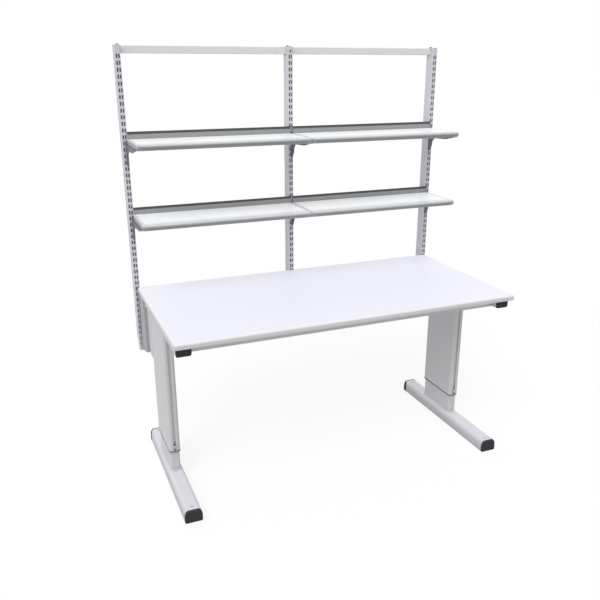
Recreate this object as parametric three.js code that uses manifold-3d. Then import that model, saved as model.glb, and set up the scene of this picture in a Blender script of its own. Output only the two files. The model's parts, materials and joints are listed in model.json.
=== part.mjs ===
// Height-adjustable laboratory bench with a two-level reagent shelf behind it.
// Millimetres, +Z up, +X to the right; the user stands on the -Y side.
// The origin is on the floor, below the middle of the bench's outer box.

import * as THREE from "three";
import { mergeVertices } from "three/addons/utils/BufferGeometryUtils.js";
import Module from "manifold-3d";

const wasm = await Module();
wasm.setup();

// Fits
const TOUCH_GAP = 0.3; // between pieces that bear on each other
const SLIDE_GAP = 0.4; // round a piece that slides
const SHEET = 1.5; // shelf sheet
const PLATE = 3; // bracket plate
const CUT_MARGIN = 1; // how far a cutting shape runs past the surface it cuts
const WELD_DISTANCE = 1e-4; // corners closer than this are one corner
const LEAST_RADIUS = 0.5;
const WIDE_ARC = 2; // half the number of facets on a quarter turn of a wide corner
const TIGHT_ARC = 1; // the same on a tight corner
const ROUND_FACETS = 12; // on a whole turn of a stud, hole or pad

// Worktop
const TABLE_HEIGHT = 782; // floor to the upper face, with the legs as drawn
const TOP_LENGTH = 1500;
const TOP_DEPTH = 750;
const TOP_THICKNESS = 22;
const TOP_CORNER_RADIUS = 4;
const TOP_EDGE_RADIUS = 2.5;

// Side beams and rails under the worktop
const BEAM_WIDTH = 60;
const BEAM_HEIGHT = 40;
const BEAM_WALL = 2;
const BEAM_RADIUS = 8;
const BEAM_INSET = 30; // cap face behind the worktop's front and rear edges
const BEAM_CAP_THICKNESS = 4;
const BEAM_CAP_BEVEL = 1.5;
const BEAM_CAP_PLUG = 15;
const RAIL_DEPTH = 25;
const RAIL_HEIGHT = 38;
const RAIL_WALL = 2;
const RAIL_RADIUS = 3;
const RAIL_INSET = 61; // outer face behind the worktop's front and rear edges

// Legs
const LEG_CENTRE_X = 709;
const SLEEVE_WIDTH = 48;
const SLEEVE_DEPTH = 240;
const SLEEVE_FRONT_INSET = 333; // front face behind the worktop's front edge
const SLEEVE_RADIUS = 11;
const SLEEVE_WALL = 2.5;
const SLEEVE_BOTTOM_Z = 152; // underside of the collar
const GROOVE_WIDTH = 9.5;
const GROOVE_DEPTH = 4.2;
const GROOVE_WALL = 1.5;
const GROOVE_OPEN_HEIGHT = 50; // the groove has no back below this, for the lock nut
const COLLAR_HEIGHT = 7;
const COLLAR_OVERHANG = 0.8;
const COLUMN_WIDTH = 42;
const COLUMN_DEPTH = 226;
const COLUMN_RADIUS = 8;
const COLUMN_WALL = 2.5;
const COLUMN_TOP_Z = 607;
const GUIDE_THICKNESS = 8;
const GUIDE_PLUG = 20;
const LOCK_SCREW_ABOVE_COLLAR = 27;
const LOCK_HEAD_RADIUS = 6.5;
const LOCK_HEAD_HEIGHT = 6;
const LOCK_HEAD_BEVEL = 1;
const LOCK_WASHER_RADIUS = 8;
const LOCK_WASHER_THICKNESS = 1.4;
const LOCK_SHANK_RADIUS = 2.9;
const LOCK_SOCKET_RADIUS = 2.9;
const LOCK_SOCKET_DEPTH = 3.5;
const LOCK_NUT_WIDTH = 14;
const LOCK_NUT_HEIGHT = 18;
const LOCK_NUT_THICKNESS = 3.2;

// Foot bars and levelling feet
const FOOT_WIDTH = 73;
const FOOT_HEIGHT = 55;
const FOOT_FRONT_INSET = 25; // cap face behind the worktop's front edge
const FOOT_LENGTH = 726; // over both caps
const FOOT_WALL = 2.5;
const FOOT_SHOULDER_WIDTH = 16;
const FOOT_SHOULDER_DROP = 28;
const FOOT_SOLE_RADIUS = 6;
const FOOT_CAP_THICKNESS = 10;
const FOOT_CAP_BEVEL = 4;
const FOOT_CAP_PLUG = 12;
const PAD_HEIGHT = 3; // floor to the foot bar
const PAD_RADIUS = 20;
const PAD_NECK_RADIUS = 12;
const PAD_BEVEL = 0.8;
const STUD_RADIUS = 5;
const STUD_TOP_Z = 46;
const STUD_BEVEL = 1;
const LEVELLER_INSET = 32; // stud axis from the foot bar's ends
const WELD_NUT_RADIUS = 10;
const WELD_NUT_HEIGHT = 12;
const ACCESS_HOLE_RADIUS = 6;

// Slotted uprights
const UPRIGHT_SPACING = 750;
const UPRIGHT_WIDTH = 22;
const UPRIGHT_DEPTH = 58;
const UPRIGHT_CLEARANCE = 2; // between the worktop's rear edge and the uprights
const UPRIGHT_WALL = 2;
const UPRIGHT_RADIUS = 2;
const UPRIGHT_TOP_Z = 1806;
const UPRIGHT_LENGTH = 1332;
const UPRIGHT_CHAMFER_DEPTH = 42;
const UPRIGHT_CHAMFER_HEIGHT = 66;
const SHELF_SPACING = 320.4;
const SLOTS_PER_SPACING = 12; // the lower shelf hangs this many slots below the upper one
const SLOT_WIDTH = 6;
const SLOT_HEIGHT = 16;
const SLOT_OFFSET = 5; // slot columns either side of the upright's middle
const TOP_SLOT_BELOW_END = 43.7;
const LAST_SLOT_ABOVE_END = 18;

// Top cross bar
const BAR_HEIGHT = 31;
const BAR_DEPTH = 20;
const BAR_WALL = 2;
const BAR_RADIUS = 2;
const BAR_END_CLEARANCE = 2;
const BAR_BEHIND_FRONT = 25; // bar's front face behind the uprights' front face

// Brackets between the uprights and the table frame
const SPACER_DEPTH = 72;
const SPACER_BOTTOM_Z = 502;
const SPACER_RADIUS = 4;
const FRAME_BRACKET_SLANT = 26; // rise of the lower edge from the upright to the spacer
const MIDDLE_FLANGE_WIDTH = 44;
const MIDDLE_BRACKET_HEIGHT = 190;
const BRACKET_TOP_GAP = 1; // below the worktop
const BRACKET_CORNER = 4;

// Shelves
const UPPER_SHELF_Z = 1432;
const SHELF_LENGTH = 745; // over both end caps
const SHELF_SEAM_X = 2;
const SHELF_SEAM_GAP = 1;
const SHELF_DEPTH = 246;
const SHELF_REAR_GAP = 2; // in front of the uprights
const NOSE_RADIUS = 10;
const NOSE_LIP = 14;
const UPSTAND_HEIGHT = 28;
const UPSTAND_END_INSET = 4.5; // short of the end caps' outer faces
const HEM_HEIGHT = 6;
const SHELF_CAP_LENGTH = 12;
const SHELF_CAP_BEVEL = 1.5;
const SHELF_CAP_ROUNDING = 2;
const SHELF_CAP_PLUG = 10;

// Shelf brackets, measured down from the shelf's upper face and out from the uprights
const ARM_LENGTH = 232;
const ARM_TIP_DROP = 24;
const ARM_KNEE_OUT = 150;
const ARM_KNEE_DROP = 41;
const ARM_ROOT_OUT = 46;
const ARM_ROOT_DROP = 46;
const GUSSET_OUT = 29;
const GUSSET_TAPER_OUT = 25;
const GUSSET_CURVE_OUT = 31;
const GUSSET_CURVE_DROP = 62;
const GUSSET_TAPER_DROP = 84;
const GUSSET_TIP_DROP = 112;
const GUSSET_TIP_OUT = 4;
const ARM_FLANGE_WIDTH = 20;
const ARM_FLANGE_THICKNESS = 2.5;
const ARM_FLANGE_INSET = 12;
const HOOK_COUNT = 3;
const HOOK_REACH = 6.3; // from the upright's front face inwards
const HOOK_ABOVE = 2; // hook's upper edge above the slot's middle
const HOOK_DROP = 5; // how far a hook hangs below its slot

// Finishes
const WHITE_LAMINATE = { color: 0xefeffa, roughness: 0.45, metalness: 0 };
const GREY_PAINT = { color: 0xd3d3d9, roughness: 0.42, metalness: 0.1 };
const SHELF_PAINT = { color: 0xe2e6ea, roughness: 0.32, metalness: 0.15 };
const SHELF_CAP_PLASTIC = { color: 0xc4c4ce, roughness: 0.4, metalness: 0 };
const BRACKET_PAINT = { color: 0x77777f, roughness: 0.45, metalness: 0.15 };
const BLACK_PLASTIC = { color: 0x2c2c30, roughness: 0.5, metalness: 0 };
const COLLAR_PLASTIC = { color: 0x7d7d82, roughness: 0.55, metalness: 0 };
const GUIDE_PLASTIC = { color: 0xb8b8ae, roughness: 0.5, metalness: 0 };
const ZINC_STEEL = { color: 0xb6b8bc, roughness: 0.3, metalness: 0.9 };

// Places worked out from the sizes above
const OVERALL_DEPTH = TOP_DEPTH + UPRIGHT_CLEARANCE + UPRIGHT_DEPTH;
const TOP_FRONT_Y = -OVERALL_DEPTH / 2;
const TOP_REAR_Y = TOP_FRONT_Y + TOP_DEPTH;
const TOP_MIDDLE_Y = (TOP_FRONT_Y + TOP_REAR_Y) / 2;
const TOP_UNDER_Z = TABLE_HEIGHT - TOP_THICKNESS;
const BEAM_UNDER_Z = TOP_UNDER_Z - BEAM_HEIGHT;
const BEAM_MIDDLE_Z = BEAM_UNDER_Z + (BEAM_HEIGHT - TOUCH_GAP) / 2;
const SLEEVE_FRONT_Y = TOP_FRONT_Y + SLEEVE_FRONT_INSET;
const SLEEVE_REAR_Y = SLEEVE_FRONT_Y + SLEEVE_DEPTH;
const SLEEVE_MIDDLE_Y = (SLEEVE_FRONT_Y + SLEEVE_REAR_Y) / 2;
const GROOVE_BACK_Y = SLEEVE_FRONT_Y + GROOVE_DEPTH + GROOVE_WALL;
const COLUMN_FRONT_Y = SLEEVE_MIDDLE_Y - COLUMN_DEPTH / 2;
const FOOT_TOP_Z = PAD_HEIGHT + FOOT_HEIGHT;
const FOOT_FRONT_Y = TOP_FRONT_Y + FOOT_FRONT_INSET;
const FOOT_REAR_Y = FOOT_FRONT_Y + FOOT_LENGTH;
const UPRIGHT_FRONT_Y = TOP_REAR_Y + UPRIGHT_CLEARANCE;
const UPRIGHT_REAR_Y = UPRIGHT_FRONT_Y + UPRIGHT_DEPTH;
const UPRIGHT_BOTTOM_Z = UPRIGHT_TOP_Z - UPRIGHT_LENGTH;
const SLOT_PITCH = SHELF_SPACING / SLOTS_PER_SPACING;
const TOP_SLOT_Z = UPRIGHT_TOP_Z - TOP_SLOT_BELOW_END;
const SLOT_COUNT = 1 + Math.floor((TOP_SLOT_Z - UPRIGHT_BOTTOM_Z - LAST_SLOT_ABOVE_END) / SLOT_PITCH);
const SPACER_TOP_Z = BEAM_UNDER_Z - TOUCH_GAP;
const BAR_TOP_Z = UPRIGHT_TOP_Z - UPRIGHT_WALL - TOUCH_GAP;
const BAR_FRONT_Y = UPRIGHT_FRONT_Y + BAR_BEHIND_FRONT;
const SHELF_REAR_Y = UPRIGHT_FRONT_Y - SHELF_REAR_GAP;
const SHELF_FRONT_Y = SHELF_REAR_Y - SHELF_DEPTH;
const NOSE_HEIGHT = 2 * NOSE_RADIUS;
const INNER_SLOT_X = UPRIGHT_SPACING - SLOT_OFFSET;

const SIDES = [
  { name: "left", sign: -1 },
  { name: "right", sign: 1 },
];
const LEVELS = [
  { name: "upper", z: UPPER_SHELF_Z },
  { name: "lower", z: UPPER_SHELF_Z - SHELF_SPACING },
];

// An outline (across, up) is pushed along one of these directions.
const X = new THREE.Vector3(1, 0, 0);
const Y = new THREE.Vector3(0, 1, 0);
const Z = new THREE.Vector3(0, 0, 1);
const ALONG_X = new THREE.Matrix4().makeBasis(Y, Z, X);
const TOWARDS_FRONT = new THREE.Matrix4().makeBasis(X, Z, Y.clone().negate());
const UPWARDS = new THREE.Matrix4();

const bench = new THREE.Group();

function piece(parent, name, geometry, finish) {
  const mesh = new THREE.Mesh(geometry, new THREE.MeshStandardMaterial(finish));
  mesh.name = name;
  parent.add(mesh);
}

function push(outline, length, direction, arcSteps = TIGHT_ARC) {
  const settings = { depth: length, bevelEnabled: false, curveSegments: arcSteps };
  return new THREE.ExtrudeGeometry(outline, settings).applyMatrix4(direction);
}

function box(width, depth, height) {
  return new THREE.BoxGeometry(width, depth, height);
}

// Rectangle about (0, 0) with rounded corners
function roundedOutline(width, height, radius) {
  const right = width / 2 - radius;
  const top = height / 2 - radius;
  const outline = new THREE.Shape();
  outline.absarc(right, -top, radius, -Math.PI / 2, 0);
  outline.absarc(right, top, radius, 0, Math.PI / 2);
  outline.absarc(-right, top, radius, Math.PI / 2, Math.PI);
  outline.absarc(-right, -top, radius, Math.PI, Math.PI * 1.5);
  outline.closePath();
  return outline;
}

function insetOutline(width, height, inset, radius) {
  return roundedOutline(width - 2 * inset, height - 2 * inset, Math.max(radius - inset, LEAST_RADIUS));
}

function tubeOutline(width, height, wall, radius) {
  const outline = roundedOutline(width, height, radius);
  outline.holes.push(insetOutline(width, height, wall, radius));
  return outline;
}

function polygon(points) {
  return new THREE.Shape(points.map(([across, up]) => new THREE.Vector2(across, up)));
}

// Joins and cuts
function solid(geometry) {
  const bare = geometry.clone();
  bare.deleteAttribute("normal");
  bare.deleteAttribute("uv");
  const welded = mergeVertices(bare, WELD_DISTANCE);
  const vertProperties = new Float32Array(welded.attributes.position.array);
  const triVerts = new Uint32Array(welded.index.array);
  return new wasm.Manifold(new wasm.Mesh({ numProp: 3, vertProperties, triVerts }));
}

function surface(body) {
  const { vertProperties, triVerts } = body.getMesh();
  const geometry = new THREE.BufferGeometry();
  geometry.setAttribute("position", new THREE.BufferAttribute(vertProperties, 3));
  geometry.setIndex(new THREE.BufferAttribute(triVerts, 1));
  geometry.computeVertexNormals();
  return geometry;
}

function join(...geometries) {
  return surface(geometries.map(solid).reduce((body, extra) => body.add(extra)));
}

function cut(geometry, ...tools) {
  return surface(tools.map(solid).reduce((body, tool) => body.subtract(tool), solid(geometry)));
}

// Reflects a geometry in the plane x = 0 and turns its faces outwards again.
function mirrorX(geometry) {
  const mirrored = mergeVertices(geometry.clone().scale(-1, 1, 1));
  const corners = mirrored.index.array;
  for (let i = 0; i < corners.length; i += 3) {
    [corners[i], corners[i + 1]] = [corners[i + 1], corners[i]];
  }
  mirrored.computeVertexNormals();
  return mirrored;
}

// Cap for a tube's end. Its rim lies on the tube's end face and its plug reaches into the tube;
// the cap's face looks along the push direction.
function endCap({ rim, plug, thickness, bevel, rounding, plugDepth, direction, arc }) {
  const settings = {
    depth: 2 * (thickness - rounding),
    bevelEnabled: true,
    bevelSize: bevel,
    bevelThickness: rounding,
    bevelSegments: 2,
    curveSegments: arc,
  };
  const cushion = new THREE.ExtrudeGeometry(rim, settings).translate(0, 0, rounding - thickness);
  const size = new THREE.Box3().setFromBufferAttribute(cushion.attributes.position);
  const half = box(4 * size.max.length(), 4 * size.max.length(), 4 * thickness).translate(0, 0, -2 * thickness);
  const insert = push(plug, plugDepth + CUT_MARGIN, UPWARDS, arc).translate(0, 0, -plugDepth);
  const front = cut(cushion, half);
  return join(front, insert).applyMatrix4(direction);
}

// Worktop: a board with eased edges
function worktop() {
  const outline = insetOutline(TOP_LENGTH, TOP_DEPTH, TOP_EDGE_RADIUS, TOP_CORNER_RADIUS);
  const settings = {
    depth: TOP_THICKNESS - 2 * TOP_EDGE_RADIUS,
    bevelEnabled: true,
    bevelSize: TOP_EDGE_RADIUS,
    bevelThickness: TOP_EDGE_RADIUS,
    bevelSegments: 2,
    curveSegments: TIGHT_ARC,
  };
  return new THREE.ExtrudeGeometry(outline, settings)
    .translate(0, TOP_MIDDLE_Y, TOP_UNDER_Z + TOP_EDGE_RADIUS);
}

// Side beams run front to back on top of each leg, with a cap in each end.
function sideBeam() {
  const length = TOP_DEPTH - 2 * (BEAM_INSET + BEAM_CAP_THICKNESS + TOUCH_GAP);
  const outline = tubeOutline(BEAM_WIDTH, BEAM_HEIGHT - TOUCH_GAP, BEAM_WALL, BEAM_RADIUS);
  return push(outline, length, TOWARDS_FRONT)
    .translate(0, TOP_MIDDLE_Y + length / 2, BEAM_MIDDLE_Z);
}

function beamCap() {
  return endCap({
    rim: insetOutline(BEAM_WIDTH, BEAM_HEIGHT - TOUCH_GAP, BEAM_CAP_BEVEL, BEAM_RADIUS),
    plug: insetOutline(BEAM_WIDTH, BEAM_HEIGHT - TOUCH_GAP, BEAM_WALL + SLIDE_GAP, BEAM_RADIUS),
    thickness: BEAM_CAP_THICKNESS,
    bevel: BEAM_CAP_BEVEL,
    rounding: BEAM_CAP_BEVEL,
    plugDepth: BEAM_CAP_PLUG,
    direction: TOWARDS_FRONT,
    arc: TIGHT_ARC,
  });
}

// Rails run between the side beams, just under the board.
function rail(middleY) {
  const length = 2 * (LEG_CENTRE_X - BEAM_WIDTH / 2 - TOUCH_GAP);
  const outline = tubeOutline(RAIL_DEPTH, RAIL_HEIGHT, RAIL_WALL, RAIL_RADIUS);
  return push(outline, length, ALONG_X)
    .translate(-length / 2, middleY, TOP_UNDER_Z - TOUCH_GAP - RAIL_HEIGHT / 2);
}

// Outer column: a tall tube with rounded corners and a groove down its narrow front face. The groove has
// a channel behind it, except at its lower end, where the lock screw passes through.
function sleeve() {
  const bottom = SLEEVE_BOTTOM_Z + COLLAR_HEIGHT + TOUCH_GAP;
  const top = BEAM_UNDER_Z - TOUCH_GAP;
  const length = top - bottom;
  const outline = tubeOutline(SLEEVE_WIDTH, SLEEVE_DEPTH, SLEEVE_WALL, SLEEVE_RADIUS);
  const tube = push(outline, length, UPWARDS, WIDE_ARC).translate(0, SLEEVE_MIDDLE_Y, bottom);
  const channelFront = SLEEVE_FRONT_Y + SLEEVE_WALL - CUT_MARGIN;
  const channelBottom = SLEEVE_BOTTOM_Z + GROOVE_OPEN_HEIGHT;
  const channel = box(GROOVE_WIDTH + 2 * GROOVE_WALL, GROOVE_BACK_Y - channelFront, top - channelBottom)
    .translate(0, (GROOVE_BACK_Y + channelFront) / 2, (top + channelBottom) / 2);
  const groove = box(GROOVE_WIDTH, 2 * GROOVE_DEPTH, 2 * length)
    .translate(0, SLEEVE_FRONT_Y, bottom + length / 2);
  return cut(join(tube, channel), groove);
}

function collar() {
  const width = SLEEVE_WIDTH + 2 * COLLAR_OVERHANG;
  const depth = SLEEVE_DEPTH + 2 * COLLAR_OVERHANG;
  const outline = roundedOutline(width, depth, SLEEVE_RADIUS + COLLAR_OVERHANG);
  outline.holes.push(insetOutline(COLUMN_WIDTH, COLUMN_DEPTH, -SLIDE_GAP, COLUMN_RADIUS));
  return push(outline, COLLAR_HEIGHT, UPWARDS, WIDE_ARC).translate(0, SLEEVE_MIDDLE_Y, SLEEVE_BOTTOM_Z);
}

function innerColumn() {
  const outline = tubeOutline(COLUMN_WIDTH, COLUMN_DEPTH, COLUMN_WALL, COLUMN_RADIUS);
  const bottom = FOOT_TOP_Z + TOUCH_GAP;
  return push(outline, COLUMN_TOP_Z - bottom, UPWARDS, WIDE_ARC).translate(0, SLEEVE_MIDDLE_Y, bottom);
}

// Plastic guide plugged into the inner column's top; its plate runs along the sleeve's inner walls and is
// notched for the groove's channel.
function columnGuide() {
  const plate = insetOutline(SLEEVE_WIDTH, SLEEVE_DEPTH, SLEEVE_WALL + SLIDE_GAP, SLEEVE_RADIUS);
  const plug = insetOutline(COLUMN_WIDTH, COLUMN_DEPTH, COLUMN_WALL + SLIDE_GAP, COLUMN_RADIUS);
  const top = COLUMN_TOP_Z + TOUCH_GAP;
  const guide = join(
    push(plate, GUIDE_THICKNESS, UPWARDS).translate(0, SLEEVE_MIDDLE_Y, top),
    push(plug, GUIDE_PLUG + CUT_MARGIN, UPWARDS).translate(0, SLEEVE_MIDDLE_Y, top - GUIDE_PLUG),
  );
  const notchWidth = GROOVE_WIDTH + 2 * (GROOVE_WALL + SLIDE_GAP);
  const notchDepth = GROOVE_BACK_Y + SLIDE_GAP - SLEEVE_FRONT_Y;
  const notch = box(notchWidth, 2 * notchDepth, 4 * GUIDE_THICKNESS).translate(0, SLEEVE_FRONT_Y, top);
  return cut(guide, notch);
}

// Lock screw through the groove: washer, socket head and a shank that stops at the inner column
function lockScrew(z) {
  const washerFace = LOCK_WASHER_THICKNESS + TOUCH_GAP;
  const headFace = washerFace + LOCK_HEAD_HEIGHT;
  const shankEnd = SLEEVE_FRONT_Y - COLUMN_FRONT_Y + TOUCH_GAP;
  const profile = [
    [0, shankEnd],
    [LOCK_SHANK_RADIUS, shankEnd],
    [LOCK_SHANK_RADIUS, TOUCH_GAP],
    [LOCK_WASHER_RADIUS, TOUCH_GAP],
    [LOCK_WASHER_RADIUS, washerFace],
    [LOCK_HEAD_RADIUS, washerFace],
    [LOCK_HEAD_RADIUS, headFace - LOCK_HEAD_BEVEL],
    [LOCK_HEAD_RADIUS - LOCK_HEAD_BEVEL, headFace],
    [0, headFace],
  ];
  const turned = new THREE.LatheGeometry(polygon(profile).getPoints(), ROUND_FACETS);
  const socket = new THREE.CylinderGeometry(LOCK_SOCKET_RADIUS, LOCK_SOCKET_RADIUS, 2 * LOCK_SOCKET_DEPTH, 6)
    .translate(0, headFace, 0);
  return cut(turned, socket).rotateX(Math.PI).translate(0, SLEEVE_FRONT_Y, z);
}

function lockNut(z) {
  const front = SLEEVE_FRONT_Y + SLEEVE_WALL + TOUCH_GAP;
  const bore = new THREE.CylinderGeometry(
    LOCK_SHANK_RADIUS + TOUCH_GAP, LOCK_SHANK_RADIUS + TOUCH_GAP, 2 * LOCK_NUT_THICKNESS, ROUND_FACETS);
  return cut(box(LOCK_NUT_WIDTH, LOCK_NUT_THICKNESS, LOCK_NUT_HEIGHT), bore)
    .translate(0, front + LOCK_NUT_THICKNESS / 2, z);
}

// End view of the foot bar about its middle, drawn in by an inset: tall oval shoulders, a narrow sole radius
function footOutline(inset) {
  const right = FOOT_WIDTH / 2 - inset;
  const top = FOOT_HEIGHT / 2 - inset;
  const sole = FOOT_SOLE_RADIUS - inset;
  const across = FOOT_SHOULDER_WIDTH - inset;
  const drop = FOOT_SHOULDER_DROP - inset;
  const outline = new THREE.Shape();
  outline.absarc(right - sole, sole - top, sole, -Math.PI / 2, 0);
  outline.absellipse(right - across, top - drop, across, drop, 0, Math.PI / 2);
  outline.absellipse(across - right, top - drop, across, drop, Math.PI / 2, Math.PI);
  outline.absarc(sole - right, sole - top, sole, Math.PI, Math.PI * 1.5);
  outline.closePath();
  return outline;
}

// Foot bar: a tube with a rounded top, weld nuts for the levelling studs and access holes above them
function footBar(levellerPlaces) {
  const outline = footOutline(0);
  outline.holes.push(footOutline(FOOT_WALL));
  const length = FOOT_LENGTH - 2 * (FOOT_CAP_THICKNESS + TOUCH_GAP);
  const rear = FOOT_REAR_Y - FOOT_CAP_THICKNESS - TOUCH_GAP;
  const bar = push(outline, length, TOWARDS_FRONT, WIDE_ARC).translate(0, rear, PAD_HEIGHT + FOOT_HEIGHT / 2);
  const upright = (radius, height, y, z) =>
    new THREE.CylinderGeometry(radius, radius, height, ROUND_FACETS).rotateX(Math.PI / 2).translate(0, y, z);
  const nutMiddle = PAD_HEIGHT + (FOOT_WALL + WELD_NUT_HEIGHT) / 2 + CUT_MARGIN / 2;
  const nuts = levellerPlaces.map((y) => upright(WELD_NUT_RADIUS, WELD_NUT_HEIGHT, y, nutMiddle));
  const bores = levellerPlaces.map((y) => upright(STUD_RADIUS + TOUCH_GAP, 4 * WELD_NUT_HEIGHT, y, PAD_HEIGHT));
  const access = levellerPlaces.map((y) => upright(ACCESS_HOLE_RADIUS, 4 * FOOT_WALL, y, FOOT_TOP_Z));
  return cut(join(bar, ...nuts), ...bores, ...access);
}

function footCap() {
  return endCap({
    rim: footOutline(FOOT_CAP_BEVEL),
    plug: footOutline(FOOT_WALL + SLIDE_GAP),
    thickness: FOOT_CAP_THICKNESS,
    bevel: FOOT_CAP_BEVEL,
    rounding: FOOT_CAP_BEVEL,
    plugDepth: FOOT_CAP_PLUG,
    direction: TOWARDS_FRONT,
    arc: WIDE_ARC,
  });
}

// Levelling foot: pad and stud in one turned piece, screwed right in
function levellingFoot() {
  const padTop = PAD_HEIGHT - TOUCH_GAP;
  const profile = [
    [0, 0],
    [PAD_RADIUS - PAD_BEVEL, 0],
    [PAD_RADIUS, PAD_BEVEL],
    [PAD_RADIUS, padTop - PAD_BEVEL],
    [PAD_NECK_RADIUS, padTop],
    [STUD_RADIUS, padTop],
    [STUD_RADIUS, STUD_TOP_Z - STUD_BEVEL],
    [STUD_RADIUS - STUD_BEVEL, STUD_TOP_Z],
    [0, STUD_TOP_Z],
  ];
  return new THREE.LatheGeometry(polygon(profile).getPoints(), ROUND_FACETS).rotateX(Math.PI / 2);
}

function buildLeg({ name, sign }) {
  const leg = new THREE.Group();
  leg.position.x = sign * LEG_CENTRE_X;
  bench.add(leg);

  const lockZ = SLEEVE_BOTTOM_Z + LOCK_SCREW_ABOVE_COLLAR;
  const levellers = { front: FOOT_FRONT_Y + LEVELLER_INSET, rear: FOOT_REAR_Y - LEVELLER_INSET };
  const beamRimFront = TOP_FRONT_Y + BEAM_INSET + BEAM_CAP_THICKNESS;
  const beamRimRear = TOP_REAR_Y - BEAM_INSET - BEAM_CAP_THICKNESS;
  const footMiddleZ = PAD_HEIGHT + FOOT_HEIGHT / 2;
  const footRimFront = FOOT_FRONT_Y + FOOT_CAP_THICKNESS;
  const footRimRear = FOOT_REAR_Y - FOOT_CAP_THICKNESS;

  piece(leg, `side_beam_${name}`, sideBeam(), GREY_PAINT);
  piece(leg, `beam_cap_${name}_front`, beamCap().translate(0, beamRimFront, BEAM_MIDDLE_Z), BLACK_PLASTIC);
  piece(leg, `beam_cap_${name}_rear`,
    beamCap().rotateZ(Math.PI).translate(0, beamRimRear, BEAM_MIDDLE_Z), BLACK_PLASTIC);
  piece(leg, `outer_column_${name}`, sleeve(), GREY_PAINT);
  piece(leg, `column_collar_${name}`, collar(), COLLAR_PLASTIC);
  piece(leg, `lock_screw_${name}`, lockScrew(lockZ), ZINC_STEEL);
  piece(leg, `lock_nut_${name}`, lockNut(lockZ), ZINC_STEEL);
  piece(leg, `inner_column_${name}`, innerColumn(), GREY_PAINT);
  piece(leg, `column_guide_${name}`, columnGuide(), GUIDE_PLASTIC);
  piece(leg, `foot_bar_${name}`, footBar(Object.values(levellers)), GREY_PAINT);
  piece(leg, `foot_cap_${name}_front`, footCap().translate(0, footRimFront, footMiddleZ), BLACK_PLASTIC);
  piece(leg, `foot_cap_${name}_rear`,
    footCap().rotateZ(Math.PI).translate(0, footRimRear, footMiddleZ), BLACK_PLASTIC);
  for (const [end, y] of Object.entries(levellers)) {
    piece(leg, `levelling_foot_${name}_${end}`, levellingFoot().translate(0, y, 0), BLACK_PLASTIC);
  }
}

// Upright: a tube closed at both ends, with two columns of slots in its front wall, its rear corner cut
// off at the lower end, and a window for the cross bar in each side wall named in windowSigns.
function upright(windowSigns) {
  const middleY = (UPRIGHT_FRONT_Y + UPRIGHT_REAR_Y) / 2;
  const bore = insetOutline(UPRIGHT_WIDTH, UPRIGHT_DEPTH, UPRIGHT_WALL, UPRIGHT_RADIUS);
  const blank = push(roundedOutline(UPRIGHT_WIDTH, UPRIGHT_DEPTH, UPRIGHT_RADIUS), UPRIGHT_LENGTH, UPWARDS)
    .translate(0, middleY, UPRIGHT_BOTTOM_Z);
  const chamfer = (rise) => push(polygon([
    [UPRIGHT_REAR_Y + CUT_MARGIN, UPRIGHT_BOTTOM_Z - CUT_MARGIN],
    [UPRIGHT_REAR_Y + CUT_MARGIN, UPRIGHT_BOTTOM_Z + UPRIGHT_CHAMFER_HEIGHT],
    [UPRIGHT_REAR_Y - UPRIGHT_CHAMFER_DEPTH, UPRIGHT_BOTTOM_Z - CUT_MARGIN],
  ]), 2 * UPRIGHT_WIDTH, ALONG_X).translate(-UPRIGHT_WIDTH, 0, rise);
  const tube = push(bore, UPRIGHT_LENGTH - 2 * UPRIGHT_WALL, UPWARDS)
    .translate(0, middleY, UPRIGHT_BOTTOM_Z + UPRIGHT_WALL);
  const hollow = cut(tube, chamfer(2 * UPRIGHT_WALL));

  const slots = [];
  for (let i = 0; i < SLOT_COUNT; i += 1) {
    for (const x of [-SLOT_OFFSET, SLOT_OFFSET]) {
      const slot = box(SLOT_WIDTH, 2 * (UPRIGHT_WALL + CUT_MARGIN), SLOT_HEIGHT);
      slots.push(slot.translate(x, UPRIGHT_FRONT_Y, TOP_SLOT_Z - i * SLOT_PITCH));
    }
  }
  const windows = windowSigns.map((sign) =>
    box(2 * (UPRIGHT_WALL + CUT_MARGIN), BAR_DEPTH + 2 * TOUCH_GAP, BAR_HEIGHT + 2 * TOUCH_GAP)
      .translate(sign * UPRIGHT_WIDTH / 2, BAR_FRONT_Y + BAR_DEPTH / 2, BAR_TOP_Z - BAR_HEIGHT / 2));
  return cut(blank, hollow, chamfer(0), ...slots, ...windows);
}

// Cross bar through the windows of all three uprights
function topBar() {
  const half = UPRIGHT_SPACING + UPRIGHT_WIDTH / 2 - UPRIGHT_WALL - BAR_END_CLEARANCE;
  return push(tubeOutline(BAR_DEPTH, BAR_HEIGHT, BAR_WALL, BAR_RADIUS), 2 * half, ALONG_X)
    .translate(-half, BAR_FRONT_Y + BAR_DEPTH / 2, BAR_TOP_Z - BAR_HEIGHT / 2);
}

// Corners of a bracket plate's rear edge from its top down: a hook through each slot listed, hanging
// behind the upright's front wall.
function hookedEdge(slotMiddles) {
  const edge = UPRIGHT_FRONT_Y - TOUCH_GAP;
  const wallBack = UPRIGHT_FRONT_Y + UPRIGHT_WALL + TOUCH_GAP;
  const hookBack = UPRIGHT_FRONT_Y + HOOK_REACH;
  return slotMiddles.flatMap((z) => {
    const seat = z - SLOT_HEIGHT / 2 + TOUCH_GAP;
    const tip = seat - HOOK_DROP;
    return [
      [edge, z + HOOK_ABOVE],
      [hookBack, z + HOOK_ABOVE],
      [hookBack, tip],
      [wallBack, tip],
      [wallBack, seat],
      [edge, seat],
    ];
  });
}

// The slot middles between two heights, from the top down
function slotsBetween(low, high) {
  const middles = [];
  for (let i = 0; i < SLOT_COUNT; i += 1) {
    const z = TOP_SLOT_Z - i * SLOT_PITCH;
    if (z - SLOT_HEIGHT > low && z + SLOT_HEIGHT / 2 < high) middles.push(z);
  }
  return middles;
}

function everySecond(list) {
  return list.filter((_, i) => i % 2 === 0);
}

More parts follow.
